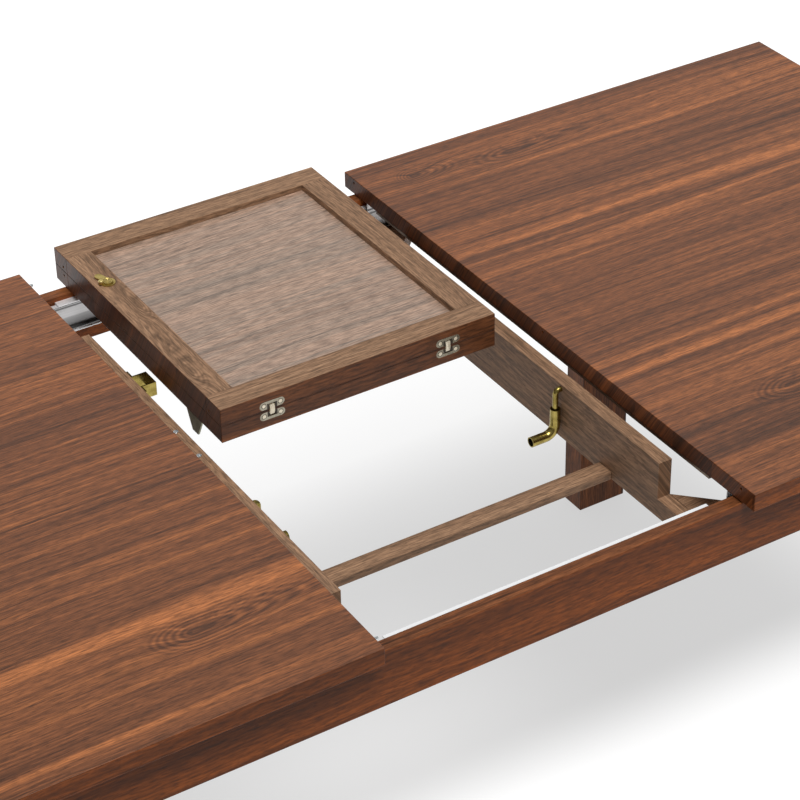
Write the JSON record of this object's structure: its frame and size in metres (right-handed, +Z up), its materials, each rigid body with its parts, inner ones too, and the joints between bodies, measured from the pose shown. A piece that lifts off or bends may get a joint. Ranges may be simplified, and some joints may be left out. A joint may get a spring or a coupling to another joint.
{
  "type": "extendable dining table",
  "caption": "Rectangular wooden dining table with two tops drawn apart on steel slides and a hinged leaf folded over the gap.",
  "frame": {"origin": "on the floor under the middle of the table, midway between the two tops", "axes": "+X along the length, the way the tops slide; +Y across the table, towards the folded leaf; +Z up"},
  "size_m": [2.154, 1, 0.7826],
  "materials": {
    "dark_walnut": "oiled",
    "plain_walnut": "unfinished",
    "leaf_frame_walnut": "unfinished",
    "leaf_panel_veneer": "unfinished",
    "zinc_steel": "zinc plated",
    "bar_steel": "brown lacquer",
    "olive_steel": "olive chromate",
    "brass": "satin",
    "hinge_brass": "satin",
    "catch_nickel": "satin",
    "bolt_steel": "zinc plated",
    "glide_plastic": "matte"
  },
  "bodies": {
    "frame": {"near_apron": "dark_walnut", "far_apron": "dark_walnut", "left_end_apron": "dark_walnut", "right_end_apron": "dark_walnut", "near_left_leg": "dark_walnut", "near_right_leg": "dark_walnut", "far_left_leg": "dark_walnut", "far_right_leg": "dark_walnut", "leg_corner_blocks": "plain_walnut", "left_beam": "plain_walnut", "right_beam": "plain_walnut", "near_stretcher": "plain_walnut", "beam_corner_blocks": "plain_walnut", "near_slide_rail": "zinc_steel", "far_slide_rail": "zinc_steel", "frame_screws": "zinc_steel", "left_keeper": "brass", "right_keeper": "brass", "left_hook_pin": "brass", "right_hook_pin": "brass", "leg_bolts": "bolt_steel", "floor_glides": "glide_plastic"},
    "left_top": {"left_top": "dark_walnut", "left_top_bar": "bar_steel", "near_left_slide_inner": "zinc_steel", "far_left_slide_inner": "zinc_steel", "left_top_screws": "zinc_steel", "left_top_dowels": "zinc_steel"},
    "right_top": {"right_top": "dark_walnut", "right_top_bar": "bar_steel", "near_right_slide_inner": "zinc_steel", "far_right_slide_inner": "zinc_steel", "right_top_screws": "zinc_steel"},
    "left_slide_middles": {"near_left_slide_middle": "zinc_steel", "far_left_slide_middle": "zinc_steel"},
    "right_slide_middles": {"near_right_slide_middle": "zinc_steel", "far_right_slide_middle": "zinc_steel"},
    "leaf_lower": {"lower_near_rail": "leaf_frame_walnut", "lower_far_rail": "leaf_frame_walnut", "lower_left_stile": "leaf_frame_walnut", "lower_right_stile": "leaf_frame_walnut", "lower_panel": "leaf_panel_veneer", "leaf_tongues": "olive_steel", "lower_hinge_plates": "hinge_brass", "lower_hinge_screws": "hinge_brass", "lower_leaf_dowels": "zinc_steel"},
    "leaf_upper": {"upper_near_rail": "leaf_frame_walnut", "upper_far_rail": "leaf_frame_walnut", "upper_left_stile": "leaf_frame_walnut", "upper_right_stile": "leaf_frame_walnut", "upper_panel": "leaf_panel_veneer", "upper_hinge_plates": "hinge_brass", "upper_hinge_screws": "hinge_brass", "upper_leaf_dowels": "zinc_steel", "catch_plate": "catch_nickel"},
    "hinge_links": {"hinge_links": "hinge_brass"},
    "catch_lever": {"catch_lever": "catch_nickel"},
    "left_leaf_hook": {"left_leaf_hook": "brass"},
    "right_leaf_hook": {"right_leaf_hook": "brass"}
  },
  "joints": [
    {"name": "left_top_slide", "type": "slide", "parent": "frame", "child": "left_top", "axis": [1, 0, 0], "range_m": [0, 0.0565]},
    {"name": "right_top_slide", "type": "slide", "parent": "frame", "child": "right_top", "axis": [-1, 0, 0], "range_m": [0, 0.0565]},
    {"name": "left_middle_slide", "type": "slide", "parent": "frame", "child": "left_slide_middles", "axis": [1, 0, 0], "range_m": [0, 0.0565]},
    {"name": "right_middle_slide", "type": "slide", "parent": "frame", "child": "right_slide_middles", "axis": [-1, 0, 0], "range_m": [0, 0.0565]},
    {"name": "leaf_lift", "type": "slide", "parent": "frame", "child": "leaf_lower", "axis": [0, 0, 1], "range_m": [0, 0.2]},
    {"name": "leaf_unfold", "type": "hinge", "parent": "leaf_lower", "child": "leaf_upper", "pos_m": [0, 0, 0.75], "axis": [1, 0, 0], "range_deg": [0, 180]},
    {"name": "hinge_link_turn", "type": "hinge", "parent": "leaf_lower", "child": "hinge_links", "pos_m": [0, 0.0065, 0.7435], "axis": [1, 0, 0], "range_deg": [0, 90]},
    {"name": "catch_turn", "type": "hinge", "parent": "leaf_upper", "child": "catch_lever", "pos_m": [-0.194, 0.368, 0.7776], "axis": [0, 0, -1], "range_deg": [0, 90]},
    {"name": "left_hook_turn", "type": "hinge", "parent": "frame", "child": "left_leaf_hook", "pos_m": [-0.2318, -0.123, 0.67], "axis": [0, 0, 1], "range_deg": [-90, 90]},
    {"name": "right_hook_turn", "type": "hinge", "parent": "frame", "child": "right_leaf_hook", "pos_m": [0.2318, -0.123, 0.67], "axis": [0, 0, 1], "range_deg": [-90, 90]}
  ],
  "couplings": [
    {"joint": "left_middle_slide", "follows": "left_top_slide", "ratio": 0.5},
    {"joint": "right_middle_slide", "follows": "right_top_slide", "ratio": 0.5},
    {"joint": "hinge_link_turn", "follows": "leaf_unfold", "ratio": 0.5}
  ]
}
